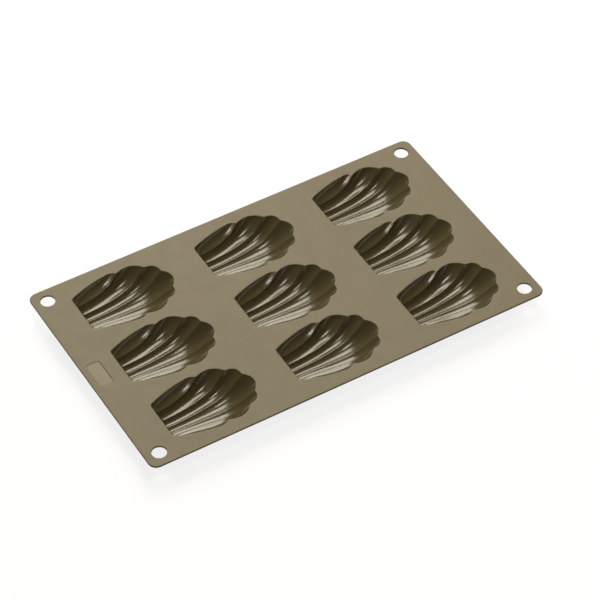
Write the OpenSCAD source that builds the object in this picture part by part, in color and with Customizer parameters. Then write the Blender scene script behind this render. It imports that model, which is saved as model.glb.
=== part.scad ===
// Baking mould for nine scallop-shell cakes: a flat, flexible sheet with nine fluted cups hung in it.
// Frame: the origin is under the middle of the sheet, on the plane that the cups rest on.
// +X runs along the sheet towards the scalloped ends of the shells, +Z is up.

/* [Sheet] */
// Length of the sheet, along the shells
sheet_l = 300; // [272:1:420]
// Width of the sheet, across the shells
sheet_w = 175; // [158:1:260]
// Thickness of the sheet
sheet_t = 1.5; // [1:0.1:2.5]
// Radius of the sheet's corners
corner_r = 6; // [2:0.5:9]

/* [Hanging holes] */
// Diameter of each corner hole
hole_d = 10; // [5:0.5:11]
// Distance from a hole's centre to both edges of its corner
hole_inset = 10.5; // [8.5:0.5:12]

/* [Layout] */
// Bare sheet between its left edge and the heels of the left shells
left_margin = 24.5; // [22:0.1:28]
// Bare sheet between the tips of the right shells and its right edge
right_margin = 19.7; // [18:0.1:28]
// Share of the bare width that lies beside the outer cups, on each side; the rest lies between the rows
side_share = 0.32; // [0.25:0.01:0.4]

/* [Shell outline] */
// Width of the straight heel
heel_w = 30.2; // [24:0.2:34]
// Distance from the heel to the shoulders, where the sides are widest
shoulder_x = 28.2; // [24:0.2:32]
// Width across the shoulders
shoulder_w = 46.4; // [44:0.2:48]
// How far the sides bow out on their way to the shoulders
side_bow = 0.8; // [0.4:0.05:1]
// Distance from the heel to the middle of the oval that the rib tips lie on
fan_x = 39.4; // [37:0.2:42]
// Reach of that oval in front of its middle
fan_reach = 27.1; // [24:0.1:29]
// Width of that oval
fan_w = 42.8; // [40:0.2:44]
// Angle of each rib tip on the oval, from the middle of the shell outwards
rib_angles = [23, 51, 94]; // [15:1:100]

/* [Shell depth] */
// Depth of the rib crests below the top of the sheet, in the middle of the shell
crest_depth = 13; // [9:0.2:18]
// Draft of the heel wall, in degrees
heel_draft = 14; // [5:1:30]
// Share of a rib's length over which it climbs to the rim
climb = 0.33; // [0.2:0.01:0.5]
// Rise of a flute's arc, as a share of the distance between its ribs
flute_arch = 0.26; // [0.15:0.01:0.32]
// Thickness of a cup's wall
wall = 1.5; // [1:0.1:2.2]
// Depth of the small flat under each cup that the mould rests on
rest_cut = 0.6; // [0.6:0.1:1]

/* [Fineness] */
// Faces across each flute
flute_steps = 4; // [4:1:6]
// Faces along each flute
rib_steps = 12; // [10:1:16]

/* [Hidden] */
ROWS = ["front", "middle", "back"];
COLUMNS = ["left", "centre", "right"];
function cup_name(row, column) = str("cup_", ROWS[row], "_", COLUMNS[column]);

silicone = [0.53, 0.49, 0.40];
side_flute = 3;
side_rib = side_flute + 0.5;
// The ribs stand a little further apart at the heel than even shares of its width
heel_spread = 0.2;
// How sharply the bow of the ribs fades from the sides to the middle
bow_fade = 6;
// How sharply floor, heel wall and climb turn into each other
blend = 6;
// Distance from the heel over which the flutes come to their full depth
flute_run = 4;
// How late the flutes turn from bulging down to bulging out to the rim
rim_turn = 8;
// Small step along a rib, to find its direction
nudge = 0.01;
// Overlap of a cut with the air outside what it cuts
over = 1;

function unit(v) = v / norm(v);
function mix(a, b, share) = a + (b - a) * share;
function total(v) = v * [for (x = v) 1];
function soft_min(v) = min(v) <= 0 ? 0 : pow(total([for (x = v) pow(x, -blend)]), -1 / blend);

// A rib is numbered from the middle of the shell: 0.5, 1.5 and 2.5 are crests, 3.5 is the rim at the
// side, and negative numbers lie on the other side. t runs along it, from 0 at the heel to 1 at its tip.
function tip_angle(rib) = rib_angles[floor(abs(rib))];
function rib_tip(rib) = abs(rib) == side_rib
    ? [shoulder_x, sign(rib) * shoulder_w / 2]
    : [fan_x + fan_reach * cos(tip_angle(rib)), sign(rib) * fan_w / 2 * sin(tip_angle(rib))];
function heel_y(rib) =
    let (share = rib / side_rib)
    heel_w / 2 * share * (1 + heel_spread * (1 - share * share));
function bow(rib) = side_bow * pow(abs(rib) / side_rib, bow_fade);
function crest(rib) = crest_depth * (1 - pow(rib / side_rib, 2));
function rib_point(rib, t) =
    let (
        tip = rib_tip(rib),
        x = tip.x * t,
        y = mix(heel_y(rib), tip.y, t * t + 2 * bow(rib) * t * (1 - t)),
        depth = soft_min([crest(rib), crest(rib) * (1 - t) / climb, x / tan(heel_draft)])
    )
    [x, y, -depth];

// Flute f hangs between rib f - 0.5 and rib f + 0.5, and u runs across it from 0 to 1.
function chord(f, t) = rib_point(f + 0.5, t) - rib_point(f - 0.5, t);
function middle(f, t) = (rib_point(f + 0.5, t) + rib_point(f - 0.5, t)) / 2;
function outward(f, t) =
    unit(cross(chord(f, t), middle(f, min(1, t + nudge)) - middle(f, max(0, t - nudge))));
function level(f, t) = unit(cross(chord(f, t), [0, 0, 1]));
function bulge_way(f, t) = unit(mix(outward(f, t), level(f, t), pow(t, rim_turn)));
function arch(f) = flute_arch * (1 - pow(f / side_flute, 2) / 2);
function bulge(f, u, t) =
    arch(f) * norm(chord(f, t)) * 4 * u * (1 - u) * min(1, middle(f, t).x / flute_run);
function inner_point(f, u, t) =
    mix(rib_point(f - 0.5, t), rib_point(f + 0.5, t), u) + bulge(f, u, t) * bulge_way(f, t);

// The wall lies outside the inner face, along a direction that turns steadily from flute to flute.
function rib_way(f, t) =
    let (a = max(f - 1, -side_flute), b = min(f, side_flute))
    unit(outward(a, t) + outward(b, t));
function wall_point(f, u, t) =
    inner_point(f, u, t) + wall * unit(mix(rib_way(f, t), rib_way(f + 1, t), u));

// Grid of the cup: s counts the faces across all flutes and r those along a flute, closer together
// near the heel and the tips.
across = (2 * side_flute + 1) * flute_steps;
function flute_of(s) = min(floor(s / flute_steps), 2 * side_flute) - side_flute;
function share_of(s) = s / flute_steps - flute_of(s) - side_flute;
function t_of(r) = (1 - cos(180 * r / rib_steps)) / 2;
inner_grid = [for (r = [0:rib_steps]) [for (s = [0:across]) inner_point(flute_of(s), share_of(s), t_of(r))]];
wall_grid = [for (r = [0:rib_steps]) [for (s = [0:across]) wall_point(flute_of(s), share_of(s), t_of(r))]];

// Overall height, from the flats under the cups to the top of the sheet
height = max([for (row = wall_grid) for (p = row) -p.z]) - rest_cut;
shell_l = max([for (row = inner_grid) for (p = row) p.x]);
shell_w = 2 * max([for (row = inner_grid) for (p = row) p.y]);
pitch_x = (sheet_l - left_margin - right_margin - shell_l) / 2;
cup_w = shell_w + 2 * wall;
bare_w = sheet_w - 3 * cup_w;
pitch_y = cup_w + bare_w * (1 - 2 * side_share) / 2;

// Rim of the cup, once round counter-clockwise from the heel's corner, as grid places [r, s]
rim = concat(
    [for (r = [0:rib_steps - 1]) [r, 0]],
    [for (s = [0:across - 1]) [rib_steps, s]],
    [for (r = [rib_steps:-1:1]) [r, across]],
    [for (s = [across:-1:1]) [0, s]]
);
rim_line = [for (p = rim) let (q = inner_grid[p[0]][p[1]]) [q.x, q.y]];

// Each point of a counter-clockwise outline moved out by a distance square to both its edges
function turned(v) = [v.y, -v.x];
function grown(line, by) =
    let (n = len(line))
    [for (i = [0:n - 1])
        let (
            a = unit(turned(line[i] - line[(i + n - 1) % n])),
            b = unit(turned(line[(i + 1) % n] - line[i]))
        )
        line[i] + by * (a + b) / (1 + a * b)];
opening_line = grown(rim_line, wall);

// The cup's solid: inner face, outer face, top of the rim and a collar as thick as the sheet.
// A point of the outer grid that lies on the rim is the collar's lower edge.
function on_rim(r, s) = r == 0 || r == rib_steps || s == 0 || s == across;
function place_of(r, s) = r * (across + 1) + s;
rim_count = len(rim);
grid_count = (rib_steps + 1) * (across + 1);
inner_points = [for (row = inner_grid) for (p = row) p];
outer_points = [for (r = [1:rib_steps - 1]) for (s = [1:across - 1])
    let (p = wall_grid[r][s]) [p.x, p.y, max(p.z, -height)]];
collar_top = [for (p = opening_line) [p.x, p.y, 0]];
collar_base = [for (p = opening_line) [p.x, p.y, -sheet_t]];
cup_points = concat(inner_points, outer_points, collar_top, collar_base);
outer_first = grid_count;
top_first = outer_first + len(outer_points);
base_first = top_first + rim_count;

// Where on the rim, counted once round, a grid place lies
function rim_index(r, s) =
    s == 0 && r < rib_steps ? r
    : r == rib_steps && s < across ? rib_steps + s
    : s == across && r > 0 ? 2 * rib_steps + across - r
    : 2 * rib_steps + 2 * across - s;
function outer_place(r, s) = on_rim(r, s)
    ? base_first + rim_index(r, s)
    : outer_first + (r - 1) * (across - 1) + s - 1;
function quad(a, b, c, d) = [[a, b, c], [a, c, d]];
cup_faces = concat(
    [for (r = [0:rib_steps - 1], s = [0:across - 1])
        each quad(place_of(r, s), place_of(r, s + 1), place_of(r + 1, s + 1), place_of(r + 1, s))],
    [for (r = [0:rib_steps - 1], s = [0:across - 1])
        each quad(outer_place(r + 1, s), outer_place(r + 1, s + 1), outer_place(r, s + 1), outer_place(r, s))],
    [for (i = [0:rim_count - 1])
        let (
            j = (i + 1) % rim_count,
            a = place_of(rim[i][0], rim[i][1]),
            b = place_of(rim[j][0], rim[j][1])
        )
        each concat(
            quad(a, b, top_first + j, top_first + i),
            quad(top_first + i, top_first + j, base_first + j, base_first + i)
        )]
);

module at_cup(row, column) {
    translate([
        left_margin - sheet_l / 2 + column * pitch_x,
        (row - 1) * pitch_y,
        height
    ])
        children();
}

module rounded_rectangle(length, width, radius) {
    square([length - 2 * radius, width], center = true);
    square([length, width - 2 * radius], center = true);
    for (x = [-1, 1], y = [-1, 1])
        translate([x * (length / 2 - radius), y * (width / 2 - radius)])
            circle(radius, $fn = 64);
}

module hanging_holes() {
    for (x = [-1, 1], y = [-1, 1])
        translate([x * (sheet_l / 2 - hole_inset), y * (sheet_w / 2 - hole_inset), height - sheet_t - over])
            cylinder(h = sheet_t + 2 * over, d = hole_d, $fn = 64);
}

module shell_openings() {
    for (row = [0:2], column = [0:2])
        at_cup(row, column)
            translate([0, 0, -sheet_t - over])
                linear_extrude(sheet_t + 2 * over)
                    polygon(opening_line);
}

module top_sheet() {
    color(silicone)
        difference() {
            translate([0, 0, height - sheet_t])
                linear_extrude(sheet_t)
                    rounded_rectangle(sheet_l, sheet_w, corner_r);
            hanging_holes();
            shell_openings();
        }
}

module cup(row, column) {
    color(silicone)
        at_cup(row, column)
            polyhedron(points = cup_points, faces = cup_faces);
}

top_sheet();
for (row = [0:2], column = [0:2])
    cup(row, column);
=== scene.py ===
"""Looks of a nine-cup shell baking mould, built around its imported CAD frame.

The sheet and the cups are modelled again at a finer grain than the CAD solids that they stand for,
with soft moulded edges and with beds that climb more softly to the scalloped end. Lengths are in
millimetres and angles in degrees until Blender gets them.
"""

import bpy
import numpy as np
from mathutils import Matrix, Vector
from mathutils.geometry import delaunay_2d_cdt

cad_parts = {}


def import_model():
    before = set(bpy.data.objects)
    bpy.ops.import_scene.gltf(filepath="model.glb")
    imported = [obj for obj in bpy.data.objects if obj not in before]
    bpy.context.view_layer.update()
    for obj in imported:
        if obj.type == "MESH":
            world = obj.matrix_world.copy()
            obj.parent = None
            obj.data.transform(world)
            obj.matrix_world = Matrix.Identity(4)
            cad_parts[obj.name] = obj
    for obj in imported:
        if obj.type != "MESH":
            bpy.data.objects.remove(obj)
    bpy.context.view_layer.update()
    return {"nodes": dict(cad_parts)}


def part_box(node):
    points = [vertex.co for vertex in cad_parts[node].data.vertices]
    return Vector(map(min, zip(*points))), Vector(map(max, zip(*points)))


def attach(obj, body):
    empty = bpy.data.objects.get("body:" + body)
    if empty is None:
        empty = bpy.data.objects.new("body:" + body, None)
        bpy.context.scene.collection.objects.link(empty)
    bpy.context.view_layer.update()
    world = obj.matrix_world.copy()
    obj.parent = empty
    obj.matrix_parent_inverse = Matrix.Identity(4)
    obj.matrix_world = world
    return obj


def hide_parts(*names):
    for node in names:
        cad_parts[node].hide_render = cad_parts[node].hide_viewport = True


MM = 0.001
TINY = 1e-6

# Sheet: EDGE_MARGIN is the flat ring that goes with each rounded edge
SHEET_T = 1.5
CORNER_R = 6
HOLE_R = 5
HOLE_INSET = 10.5
EDGE_R = 0.45
HOLE_EDGE_R = 0.3
EDGE_MARGIN = 0.5

# Shell outline, from the middle of its heel
HEEL_W = 30.2
SHOULDER = (28.2, 23.2)
FAN_X = 39.4
FAN_REACH = 27.1
FAN_W = 42.8
RIB_ANGLES = (23, 51, 94)

# Ribs: three crests on each side of the middle flute, and the rim at either side. HEEL_SPREAD sets
# them further apart at the heel than even shares of it, and a bow fades from the sides inwards
SIDE_FLUTE = 3
RIB_COUNT = 2 * SIDE_FLUTE + 2
HEEL_SPREAD = 0.2
SIDE_BOW = 0.8
BOW_FADE = 6

# Step of t, from heel to tip, over which a rib's direction is taken
NUDGE = 0.01

# Depth of the crests. CLIMB is the share of their length in which they climb to the tip, and a
# higher blend gives a sharper change into a slope
CREST_DEPTH = 13.3
HEEL_DRAFT = 14
HEEL_BLEND = 6
CLIMB = 0.28
CLIMB_BLEND = 3

# Flutes: rise of the middle one's arc as a share of its chord, length in which the arcs grow from
# the heel, and how late they turn level towards the tip
FLUTE_ARCH = 0.26
FLUTE_RUN = 4
RIM_TURN = 8
WALL = 1.5

# Rounds of the crests and of the rim's inner edge
CREST_R = 0.7
CREST_MAX_SINE = 0.9
RIM_SOFT = 0.75
RIM_SOFT_SHARE = 0.8
RIM_OUT = 0.15

# Grain of a cup's mesh: places across a flute, closer beside the ribs that they end on, rows from
# heel to tip and the steps that these are measured with, and places a flute in the opening's edge
INNER_PLACES = (0, 0.035, 0.07, 0.11, 0.18, 0.28, 0.39, 0.5, 0.61, 0.72, 0.82, 0.89, 0.93, 0.965, 1)
OUTER_PLACES = (0, 0.18, 0.28, 0.37, 0.46, 0.54, 0.61, 0.68, 0.75, 0.81, 0.86, 0.9, 0.935, 0.967, 1)
FLUTE_STEPS = len(INNER_PLACES) - 1
RIB_STEPS = 54
FINE_STEPS = 2001
TIP_STEPS = 4

# Steps of the rim's round. From GLOSSY_STEPS on, it has the sheet's matt skin
RIM_STEPS = 6
GLOSSY_STEPS = 3

# Blank badge, a shallow recess in the left margin. Its profile takes steps (grow, z) from the
# sheet's face over a soft lip and down to the field
BADGE_FROM_EDGE = 9.3
BADGE_BACK = 1.2
BADGE_SIZE = (10.6, 22)
BADGE_R = 2.4
BADGE_CORNER_STEPS = 8
BADGE_PROFILE = [
    (1.4, 0),
    (0.6, 0),
    (0.3, -0.01),
    (0.15, -0.05),
    (0, -0.12),
    (-0.15, -0.19),
    (-0.3, -0.24),
    (-0.5, -0.26),
    (-1, -0.26),
]

# Skins: colour on screen, index of refraction, roughness, and size and strength of the fine bumps.
# The sheet and the cups are one silicone, and the gap between their colours is painted light: the
# cups' darker colour is painted shade in the hollows, the sheet's lighter one is painted sheen
SKINS = {
    "sheet_silicone": ((127, 116, 90), 1.47, 0.56, 0.35, 0.25),
    "cup_silicone": ((93, 83, 55), 1.69, 0.21, 0.5, 0.05),
    "badge_field": ((137, 126, 100), 1.47, 0.5, 0.25, 0.4),
}

# Mottled colour and uneven sheen: size and detail of the noise, the part of it that is used, and
# how much darker and how much rougher or smoother it makes the skin. The fine bumps are noise too,
# and GRAIN_DEPTH is their height as a share of their size
MOTTLE = (38, 3)
MOTTLE_RANGE = (0.35, 0.65)
MOTTLE_DARK = 3
SHEEN = (9, 4)
SHEEN_RANGE = (0.3, 0.7)
SHEEN_SPREAD = 0.03
GRAIN_DETAIL = 2
GRAIN_DEPTH = 0.25

# Camera, solved from the sheet's corners: it looks at TARGET from DISTANCE
AZIMUTH = -30.757
ELEVATION = 46.43
ROLL = -0.187
DISTANCE = 1793.6
TARGET = (5.08, -8.99)
LENS = 161.35
SENSOR = 36
CAMERA_REACH = 20000

# Stage: a lift is the white that is added for the camera and in reflections
FLOOR_R = 6000
FLOOR_GAP = 0.05
FLOOR_LIFT = 0.84
BACKDROP_H = 900
BACKDROP_LIFT = 1
STAGE_TONE = 0.22
STAGE_STEPS = 96
WORLD_LEVEL = 0.03

# Lamps: azimuth from straight behind the part, elevation, width and height seen from the part, and
# the light that a surface facing the lamp gets, in watts a square metre
LAMP_DISTANCE = 2200
LAMP_COLOR = (1, 0.955, 0.82)
LAMPS = {
    "back_light": (13, 48, 30, 56, 3.2),
    "low_light": (-38, 22, 25, 16, 0.7),
    "top_light": (-154, 72, 18, 8, 0.55),
}


# Shape of a shell


def unit(v):
    """Vectors along the last axis, at length 1."""
    return v / np.linalg.norm(v, axis=-1, keepdims=True)


def soft_min(values, blend):
    """The least of the values, with a soft change from one to the next. Zero where one is zero."""
    low = np.minimum.reduce(values)
    safe = [np.maximum(v, TINY) for v in values]
    soft = sum(v**-blend for v in safe) ** (-1 / blend)
    return np.where(low <= TINY, 0, soft)


def ribs(t):
    """The eight ribs at each t from heel (0) to tip (1): an array [t, rib, xyz]."""
    number = np.arange(RIB_COUNT) - (RIB_COUNT - 1) / 2
    share = number / number[-1]
    angle = np.radians([RIB_ANGLES[min(int(abs(n)), SIDE_FLUTE - 1)] for n in number])
    tip_x = FAN_X + FAN_REACH * np.cos(angle)
    tip_y = FAN_W / 2 * np.sin(angle) * np.sign(number)
    tip_x[[0, -1]] = SHOULDER[0]
    tip_y[[0, -1]] = -SHOULDER[1], SHOULDER[1]
    heel_y = HEEL_W / 2 * share * (1 + HEEL_SPREAD * (1 - share**2))
    bow = SIDE_BOW * np.abs(share) ** BOW_FADE
    crest = CREST_DEPTH * (1 - share**2)
    t = np.clip(np.asarray(t, float), 0, 1)[:, None]
    x = tip_x * t
    y = heel_y + (tip_y - heel_y) * (t * t + 2 * bow * t * (1 - t))
    level = np.broadcast_to(crest, x.shape)
    bed = soft_min([level, x / np.tan(np.radians(HEEL_DRAFT))], HEEL_BLEND)
    depth = soft_min([bed, crest * (1 - t) / CLIMB], CLIMB_BLEND)
    return np.stack([x, y, -depth], -1)


def flutes(t):
    """The ribs, and each flute's chord, middle and outward way, all at each t."""
    here, ahead, behind = ribs(t), ribs(t + NUDGE), ribs(t - NUDGE)
    chord = here[:, 1:] - here[:, :-1]
    middle = (here[:, 1:] + here[:, :-1]) / 2
    along = (ahead[:, 1:] + ahead[:, :-1] - behind[:, 1:] - behind[:, :-1]) / 2
    return here, chord, middle, unit(np.cross(chord, along))


def columns_across():
    """Place of each column of the grid, counted in flutes from the first rib."""
    first = list(OUTER_PLACES[:-1])
    between = [f + u for f in range(1, RIB_COUNT - 2) for u in INNER_PLACES[:-1]]
    last = [RIB_COUNT - 1 - u for u in reversed(OUTER_PLACES)]
    return np.array(first + between + last)


def round_crests(inner, here, chord, swell):
    """Move the points beside each rib down onto a round of radius CREST_R.

    At its ribs the arc of a flute runs along four times its swell, with or against its chord.
    """
    for rib in range(1, RIB_COUNT - 1):
        left = unit(4 * swell[:, rib - 1] - chord[:, rib - 1])
        right = unit(4 * swell[:, rib] + chord[:, rib])
        both = left + right
        down = both / np.maximum(np.linalg.norm(both, axis=-1, keepdims=True), TINY)
        sine = np.clip((left * down).sum(-1), 0, CREST_MAX_SINE)
        cosine = np.sqrt(1 - sine**2)
        for column in range((rib - 1) * FLUTE_STEPS + 1, (rib + 1) * FLUTE_STEPS):
            away = inner[:, column] - here[:, rib]
            off = np.linalg.norm(away - (away * down).sum(-1, keepdims=True) * down, axis=-1)
            arc = np.sqrt(np.maximum(CREST_R**2 - off**2, 0))
            depth = CREST_R / cosine - off * sine / cosine - arc
            inner[:, column] += np.where(off < CREST_R * sine, depth, 0)[:, None] * down


def shell_grids(t):
    """Faces of the cup's wall as arrays [t, column, xyz]: inner with plain crests, inner, outer."""
    here, chord, middle, outward = flutes(t)
    level = unit(np.cross(chord, (0, 0, 1.0)))
    turn = (t**RIM_TURN)[:, None, None]
    way = unit(outward * (1 - turn) + level * turn)
    flute = np.arange(-SIDE_FLUTE, SIDE_FLUTE + 1)
    arch = FLUTE_ARCH * (1 - (flute / SIDE_FLUTE) ** 2 / 2)
    full = np.clip(middle[..., 0] / FLUTE_RUN, 0, 1)
    rise = arch * np.linalg.norm(chord, axis=-1) * full
    swell = rise[..., None] * way
    padded = np.concatenate([outward[:, :1], outward, outward[:, -1:]], axis=1)
    rib_way = unit(padded[:, 1:] + padded[:, :-1])
    inner, outer = [], []
    for place in columns_across():
        f = min(int(place), len(flute) - 1)
        u = place - f
        point = here[:, f] + chord[:, f] * u + swell[:, f] * 4 * u * (1 - u)
        inner.append(point)
        outer.append(point + WALL * unit(rib_way[:, f] * (1 - u) + rib_way[:, f + 1] * u))
    plain = np.stack(inner, 1)
    inner = plain.copy()
    round_crests(inner, here, chord, swell)
    return plain, inner, np.stack(outer, 1)


def even_rows():
    """Values of t that lie evenly along the bed of the middle flute."""
    fine = np.linspace(0, 1, FINE_STEPS)
    bed = ribs(fine)[:, SIDE_FLUTE]
    run = np.concatenate([[0], np.cumsum(np.linalg.norm(np.diff(bed, axis=0), axis=1))])
    return np.interp(np.linspace(0, run[-1], RIB_STEPS + 1), run, fine)


def grown_way(line):
    """For each point of a counter-clockwise outline, the step that moves both edges out by 1."""
    after = unit(np.roll(line, -1, 0) - line)
    before = unit(line - np.roll(line, 1, 0))
    a = np.stack([before[:, 1], -before[:, 0]], -1)
    b = np.stack([after[:, 1], -after[:, 0]], -1)
    return (a + b) / (1 + (a * b).sum(1, keepdims=True))


def rim_places(rows, across):
    """Grid places [row, column] once round the rim, counter-clockwise from the heel's corner."""
    return (
        [(r, 0) for r in range(rows)]
        + [(rows, s) for s in range(across)]
        + [(r, across) for r in range(rows, 0, -1)]
        + [(0, s) for s in range(across, 0, -1)]
    )


def opening_outline(plain, places):
    """The sheet's opening beside each place of the rim: the plain rim grown by the wall.

    In the scalloped end a few columns of each flute are grown and the others lie between them,
    because the rim's notches are tighter than the wall is thick.
    """
    columns = columns_across()
    tip_row = plain.shape[0] - 1
    spots = [n / TIP_STEPS for n in range(TIP_STEPS * (RIB_COUNT - 1) + 1)]
    picked = {int(np.abs(columns - spot).argmin()) for spot in spots}
    keep = [i for i, (r, s) in enumerate(places) if r < tip_row or s in picked]
    run = np.arange(len(places), dtype=float)
    run[tip_row : tip_row + len(columns)] = tip_row + columns * FLUTE_STEPS
    guide = np.array([plain[places[i]][:2] for i in keep])
    grown = guide + WALL * grown_way(guide)
    return np.stack([np.interp(run, run[keep], grown[:, axis]) for axis in (0, 1)], -1)


def rim_lines(inner, places, opening):
    """Lines beside the rim's places, from inside the shell over the rounded edge, out along the
    sheet's face to the opening and down to the collar's lower edge.
    """
    last_row, last_column = inner.shape[0] - 1, inner.shape[1] - 1
    next_in = [(min(max(r, 1), last_row - 1), min(max(s, 1), last_column - 1)) for r, s in places]
    rim = np.array([inner[place] for place in places])
    dip = np.array([inner[place] for place in next_in]) - rim
    reach = np.minimum(RIM_SOFT, RIM_SOFT_SHARE * np.linalg.norm(dip, axis=1))[:, None]
    sunk = rim + reach * unit(dip)
    flat = rim.copy()
    flat[:, :2] += (opening - rim[:, :2]) * RIM_OUT / WALL
    lines = [sunk]
    for step in range(1, RIM_STEPS + 1):
        b = step / RIM_STEPS
        lines.append(sunk * (1 - b) ** 2 + rim * 2 * b * (1 - b) + flat * b * b)
    top = np.hstack([opening, np.zeros((len(rim), 1))])
    return [*lines, top, top - (0, 0, SHEET_T)]


def shell_mesh(height):
    """Vertices and faces of one cup, its sharp rings, its matt faces and the sheet's opening.

    The matt faces are all those outside the shell. The outer grid ends at the lower edge of a
    collar as thick as the sheet, and is cut flat at the plane that the mould stands on.
    """
    plain, inner, outer = shell_grids(even_rows())
    rows, across = inner.shape[0] - 1, inner.shape[1] - 1
    width = across + 1
    places = rim_places(rows, across)
    opening = opening_outline(plain, places)
    first_line, *lines = rim_lines(inner, places, opening)
    outer[..., 2] = np.maximum(outer[..., 2], -height)

    grid = inner.reshape(-1, 3).copy()
    rings = [np.array([r * width + s for r, s in places])]
    grid[rings[0]] = first_line
    count = len(grid)
    for line in lines:
        rings.append(np.arange(count, count + len(line)))
        count += len(line)
    verts = np.vstack([grid, *lines, outer[1:-1, 1:-1].reshape(-1, 3)])
    collar = {place: rings[-1][i] for i, place in enumerate(places)}

    def outer_at(r, s):
        return collar.get((r, s), count + (r - 1) * (across - 1) + s - 1)

    faces, matt = [], []
    for r in range(rows):
        for s in range(across):
            a = r * width + s
            faces.append((a + width, a + width + 1, a + 1, a))
            corners = ((r, s), (r, s + 1), (r + 1, s + 1), (r + 1, s))
            matt.append(len(faces))
            faces.append([outer_at(*corner) for corner in corners])
    for step, (low, high) in enumerate(zip(rings, rings[1:])):
        for i in range(len(places)):
            j = (i + 1) % len(places)
            if step >= GLOSSY_STEPS:
                matt.append(len(faces))
            faces.append((high[i], high[j], low[j], low[i]))
    return verts, faces, rings[-2:], matt, opening


# Shape of the sheet


def round_rectangle(centre, size, radius, grow, steps=14):
    """Outline of a rounded rectangle, counter-clockwise, grown by a distance on every side."""
    half = np.array(size) / 2 + grow
    r = radius + grow
    points = []
    for quarter, (sx, sy) in enumerate([(1, 1), (-1, 1), (-1, -1), (1, -1)]):
        for step in range(steps + 1):
            a = np.pi / 2 * (quarter + step / steps)
            points.append((sx * (half[0] - r) + r * np.cos(a), sy * (half[1] - r) + r * np.sin(a)))
    return np.array(points) + centre


def circle(centre, radius, grow, steps=72):
    """Outline of a circle, counter-clockwise, grown by a distance."""
    a = np.arange(steps) * 2 * np.pi / steps
    return np.stack([np.cos(a), np.sin(a)], -1) * (radius + grow) + centre


def quarter_round(radius, steps=4):
    """Steps (in, down) over a rounded edge, from its flat face to its upright one."""
    a = np.arange(steps + 1) * np.pi / 2 / steps
    return [(radius * (1 - np.sin(x)), radius * (1 - np.cos(x))) for x in a]


def upright_edge(radius, sign):
    """Profile (grow, z) from the top face over a rounded edge, down and to the bottom face."""
    over = quarter_round(radius)
    top = [(-sign * inset, -down) for inset, down in over]
    bottom = [(-sign * inset, down - SHEET_T) for inset, down in reversed(over)]
    margin = radius + EDGE_MARGIN
    return [(-sign * margin, 0), *top, *bottom, (-sign * margin, -SHEET_T)]


def inside(points, line):
    """Which points lie inside a closed outline."""
    x, y = points[:, 0], points[:, 1]
    hit = np.zeros(len(points), bool)
    for (x0, y0), (x1, y1) in zip(line, np.roll(line, -1, 0)):
        if y0 == y1:
            continue
        crossing = (y0 > y) != (y1 > y)
        hit ^= crossing & (x < (x1 - x0) * (y - y0) / (y1 - y0) + x0)
    return hit


def fill(lines):
    """Triangles inside the first outline and outside the others."""
    points = np.vstack(lines)
    edges, start = [], 0
    for line in lines:
        n = len(line)
        edges += [(start + i, start + (i + 1) % n) for i in range(n)]
        start += n
    found = delaunay_2d_cdt([Vector(p) for p in points], edges, [], 0, TINY)
    triangles = np.array(found[2])
    source = [ids[0] for ids in found[3]]
    middles = np.array([p[:] for p in found[0]])[triangles].mean(1)
    good = inside(middles, lines[0])
    for line in lines[1:]:
        good &= ~inside(middles, line)
    return [[source[i] for i in triangle] for triangle in triangles[good]]


def sheet_mesh(size, openings):
    """Vertices, faces and sharp rings of the sheet, with its top face at z = 0, and the faces of
    the badge's field.
    """
    verts, faces, sharp = [], [], []
    count = 0

    def add(line, z):
        nonlocal count
        verts.append(np.hstack([line, np.full((len(line), 1), z)]))
        ids = np.arange(count, count + len(line))
        count += len(line)
        return ids

    def sweep(outline, profile, flip):
        """Rings of an outline along a profile of (grow, z), joined by quads."""
        rings = [add(outline(grow), z) for grow, z in profile]
        for low, high in zip(rings, rings[1:]):
            for i in range(len(low)):
                j = (i + 1) % len(low)
                quad = (low[i], high[i], high[j], low[j])
                faces.append(quad[::-1] if flip else quad)
        return rings

    def edge_line(grow):
        return round_rectangle((0, 0), size, CORNER_R, grow)

    edge = sweep(edge_line, upright_edge(EDGE_R, 1), False)
    tops, bottoms = [edge[0]], [edge[-1]]
    for sx in (-1, 1):
        for sy in (-1, 1):
            centre = (sx * (size[0] / 2 - HOLE_INSET), sy * (size[1] / 2 - HOLE_INSET))
            profile = upright_edge(HOLE_EDGE_R, -1)
            hole = sweep(lambda grow, at=centre: circle(at, HOLE_R, grow), profile, True)
            tops.append(hole[0])
            bottoms.append(hole[-1])
    for line in openings:
        wall = sweep(lambda grow, points=line: points, [(0, 0), (0, -SHEET_T)], True)
        tops.append(wall[0])
        bottoms.append(wall[-1])
        sharp += wall

    def badge_line(grow):
        centre = (BADGE_FROM_EDGE - size[0] / 2, BADGE_BACK)
        return round_rectangle(centre, BADGE_SIZE, BADGE_R, grow, BADGE_CORNER_STEPS)

    badge = sweep(badge_line, BADGE_PROFILE, True)
    tops.append(badge[0])
    points = np.vstack(verts)

    def cap(rings, up):
        """Flat face inside the first ring and outside the others."""
        ids = np.concatenate(rings)
        triangles = fill([points[ring][:, :2] for ring in rings])
        made = [[ids[i] for i in triangle] for triangle in triangles]
        return made if up else [triangle[::-1] for triangle in made]

    faces += cap(tops, True)
    faces += cap(bottoms, False)
    first_field = len(faces)
    faces += cap([badge[-1]], True)
    return points, faces, sharp, range(first_field, len(faces))


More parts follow.
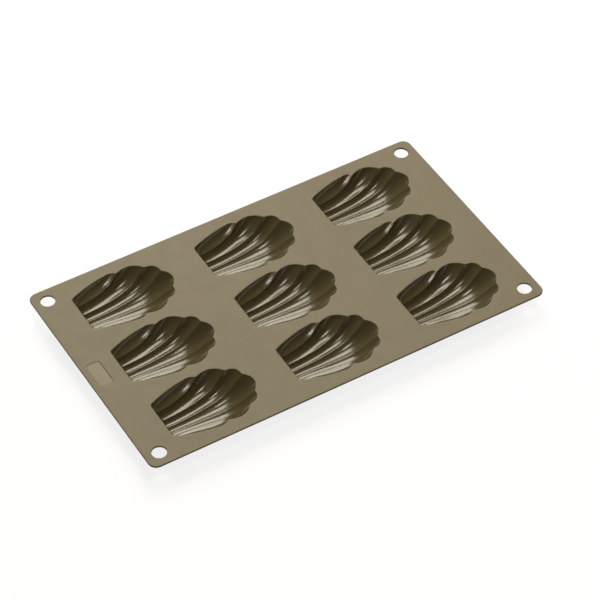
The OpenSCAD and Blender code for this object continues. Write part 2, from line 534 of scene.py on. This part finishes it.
def mesh_object(name, points, faces, sharp, offset, slots, second):
    """A piece made from points in millimetres, smooth but for its sharp rings.

    The faces in second take the second of the two materials in slots.
    """
    mesh = bpy.data.meshes.new(name)
    places = [tuple((point + offset) * MM) for point in points]
    mesh.from_pydata(places, [], [[int(i) for i in face] for face in faces])
    mesh.update()
    mesh.polygons.foreach_set("use_smooth", [True] * len(mesh.polygons))
    for index in second:
        mesh.polygons[index].material_index = 1
    ring_pairs = set()
    for ring in sharp:
        for a, b in zip(ring, np.roll(ring, -1)):
            ring_pairs.add((min(a, b), max(a, b)))
    for edge in mesh.edges:
        if tuple(sorted(edge.vertices)) in ring_pairs:
            edge.use_edge_sharp = True
    for material in slots:
        mesh.materials.append(material)
    piece = bpy.data.objects.new(name, mesh)
    bpy.context.collection.objects.link(piece)
    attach(piece, "root")
    return piece


# Materials


def srgb(r, g, b):
    """A colour as it looks on screen, 0 to 255, as the linear values that shaders take."""
    c = np.array((r, g, b)) / 255
    linear = np.where(c <= 0.04045, c / 12.92, ((c + 0.055) / 1.055) ** 2.4)
    return (*[float(v) for v in linear], 1.0)


def silicone(name):
    """Moulded silicone: mottled colour, uneven sheen and a fine skin."""
    color, ior, roughness, grain, bump = SKINS[name]
    material = bpy.data.materials.new(name)
    material.use_nodes = True
    nodes, links = material.node_tree.nodes, material.node_tree.links
    shader = nodes["Principled BSDF"]
    shader.inputs["IOR"].default_value = ior
    place = nodes.new("ShaderNodeTexCoord")

    def noise(size, detail):
        node = nodes.new("ShaderNodeTexNoise")
        node.inputs["Scale"].default_value = 1 / (size * MM)
        node.inputs["Detail"].default_value = detail
        links.new(place.outputs["Object"], node.inputs["Vector"])
        return node.outputs["Fac"]

    def spread(value, used, to_low, to_high):
        node = nodes.new("ShaderNodeMapRange")
        node.inputs["From Min"].default_value = used[0]
        node.inputs["From Max"].default_value = used[1]
        node.inputs["To Min"].default_value = to_low
        node.inputs["To Max"].default_value = to_high
        links.new(value, node.inputs["Value"])
        return node.outputs["Result"]

    tint = nodes.new("ShaderNodeMix")
    tint.data_type = "RGBA"
    tint.inputs["A"].default_value = srgb(*(c - MOTTLE_DARK for c in color))
    tint.inputs["B"].default_value = srgb(*color)
    links.new(spread(noise(*MOTTLE), MOTTLE_RANGE, 0, 1), tint.inputs["Factor"])
    links.new(tint.outputs["Result"], shader.inputs["Base Color"])
    smooth, rough = roughness - SHEEN_SPREAD, roughness + SHEEN_SPREAD
    links.new(spread(noise(*SHEEN), SHEEN_RANGE, smooth, rough), shader.inputs["Roughness"])
    skin = nodes.new("ShaderNodeBump")
    skin.inputs["Strength"].default_value = bump
    skin.inputs["Distance"].default_value = grain * MM * GRAIN_DEPTH
    links.new(noise(grain, GRAIN_DETAIL), skin.inputs["Height"])
    links.new(skin.outputs["Normal"], shader.inputs["Normal"])
    return material


def white_material(name, lift):
    """Grey paint that looks white to the camera and in reflections alone, and keeps shadows."""
    material = bpy.data.materials.new(name)
    material.use_nodes = True
    nodes, links = material.node_tree.nodes, material.node_tree.links
    nodes.clear()

    def larger(a, b):
        node = nodes.new("ShaderNodeMath")
        node.operation = "MAXIMUM"
        links.new(a, node.inputs[0])
        links.new(b, node.inputs[1])
        return node.outputs[0]

    rays = nodes.new("ShaderNodeLightPath").outputs
    through = larger(rays["Is Glossy Ray"], rays["Is Transmission Ray"])
    strength = nodes.new("ShaderNodeMath")
    strength.operation = "MULTIPLY"
    strength.inputs[1].default_value = lift
    links.new(larger(rays["Is Camera Ray"], through), strength.inputs[0])
    glow = nodes.new("ShaderNodeEmission")
    links.new(strength.outputs[0], glow.inputs["Strength"])
    paint = nodes.new("ShaderNodeBsdfDiffuse")
    paint.inputs["Color"].default_value = (STAGE_TONE, STAGE_TONE, STAGE_TONE, 1)
    both = nodes.new("ShaderNodeAddShader")
    links.new(glow.outputs[0], both.inputs[0])
    links.new(paint.outputs[0], both.inputs[1])
    end = nodes.new("ShaderNodeOutputMaterial")
    links.new(both.outputs[0], end.inputs["Surface"])
    return material


# Pieces


def make_cups(cups, top, skins):
    """A shell over the node of each cup. Returns the outlines of the sheet's openings."""
    # The cups' skin is painted darker as shade in the hollows, the sheet's lighter as sheen
    slots = [skins["cup_silicone"], skins["sheet_silicone"]]
    verts, faces, sharp, matt, opening = shell_mesh(top)
    openings = []
    for node in sorted(cups):
        near, far = [np.array(corner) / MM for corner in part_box(node)]
        offset = np.array([near[0] + WALL, (near[1] + far[1]) / 2, top])
        cup = mesh_object(node + "_shell", verts, faces, sharp, offset, slots, matt)
        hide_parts(node)
        openings.append(opening + offset[:2])
    return openings


def make_sheet(low, high, openings, skins):
    """The sheet over its node, which reaches from low to high."""
    # The sheet's skin is painted lighter as sheen on its face
    slots = [skins["sheet_silicone"], skins["badge_field"]]
    verts, faces, sharp, field = sheet_mesh((high - low)[:2], openings)
    middle = (low + high) / 2
    offset = np.array([middle[0], middle[1], high[2]])
    sheet = mesh_object("sheet", verts, faces, sharp, offset, slots, field)
    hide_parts("top_sheet")


# Stage


def make_stage():
    """A round floor just under the part, and a low backdrop round its edge."""
    rim = circle((0, 0), FLOOR_R, 0, STAGE_STEPS)
    foot = np.hstack([rim, np.full((STAGE_STEPS, 1), -FLOOR_GAP)]) * MM
    head = foot + (0, 0, BACKDROP_H * MM)
    after = [(i + 1) % STAGE_STEPS for i in range(STAGE_STEPS)]
    walls = [(i, i + STAGE_STEPS, j + STAGE_STEPS, j) for i, j in enumerate(after)]
    pieces = {
        "floor": (foot, [tuple(range(STAGE_STEPS))], FLOOR_LIFT),
        "backdrop": (np.vstack([foot, head]), walls, BACKDROP_LIFT),
    }
    for name, (points, faces, lift) in pieces.items():
        mesh = bpy.data.meshes.new(name)
        mesh.from_pydata([tuple(point) for point in points], [], faces)
        mesh.materials.append(white_material(name + "_white", lift))
        piece = bpy.data.objects.new(name, mesh)
        bpy.context.collection.objects.link(piece)


def facing(azimuth, elevation):
    """Direction from the part to a viewer, who at azimuth 0 looks along +Y."""
    a, e = np.radians(azimuth), np.radians(elevation)
    return Vector((np.sin(a) * np.cos(e), -np.cos(a) * np.cos(e), np.sin(e)))


def make_lights(top):
    """Area lamps that face the middle of the sheet's top."""
    centre = Vector((0, 0, top * MM))
    distance = LAMP_DISTANCE * MM
    for name, (azimuth, elevation, width, height, light) in LAMPS.items():
        data = bpy.data.lights.new(name, "AREA")
        data.shape = "RECTANGLE"
        data.size = 2 * distance * np.tan(np.radians(width / 2))
        data.size_y = 2 * distance * np.tan(np.radians(height / 2))
        data.color = LAMP_COLOR
        data.energy = light * np.pi * distance**2
        lamp = bpy.data.objects.new(name, data)
        bpy.context.collection.objects.link(lamp)
        way = facing(AZIMUTH + 180 + azimuth, elevation)
        lamp.location = centre + way * distance
        lamp.rotation_mode = "QUATERNION"
        lamp.rotation_quaternion = (-way).to_track_quat("-Z", "Y")


def make_world():
    """A dim even sky, the same for every ray."""
    world = bpy.data.worlds.new("studio")
    bpy.context.scene.world = world
    world.use_nodes = True
    sky = world.node_tree.nodes["Background"]
    sky.inputs["Strength"].default_value = WORLD_LEVEL
    sky.inputs["Color"].default_value = (1, 1, 1, 1)


def make_camera(top):
    """The photograph's camera, turned by ROLL about its line of sight."""
    back = facing(AZIMUTH, ELEVATION)
    right = (-back).cross(Vector((0, 0, 1))).normalized()
    up = right.cross(-back)
    turn = np.radians(ROLL)
    axes = Matrix((
        right * np.cos(turn) + up * np.sin(turn),
        up * np.cos(turn) - right * np.sin(turn),
        back,
    )).transposed()
    data = bpy.data.cameras.new("camera")
    data.lens = LENS
    data.sensor_width = SENSOR
    data.clip_end = CAMERA_REACH * MM
    camera = bpy.data.objects.new("camera", data)
    bpy.context.collection.objects.link(camera)
    place = Vector((*TARGET, top)) + back * DISTANCE
    camera.matrix_world = Matrix.Translation(place * MM) @ axes.to_4x4()
    bpy.context.scene.camera = camera


def main():
    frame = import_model()
    bpy.context.scene.view_settings.view_transform = "Standard"
    low, high = [np.array(corner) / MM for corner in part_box("top_sheet")]
    top = high[2]
    cups = [node for node in frame["nodes"] if node.startswith("cup_")]

    skins = {name: silicone(name) for name in SKINS}
    openings = make_cups(cups, top, skins)
    make_sheet(low, high, openings, skins)
    make_stage()
    make_lights(top)
    make_world()
    make_camera(top)


main()
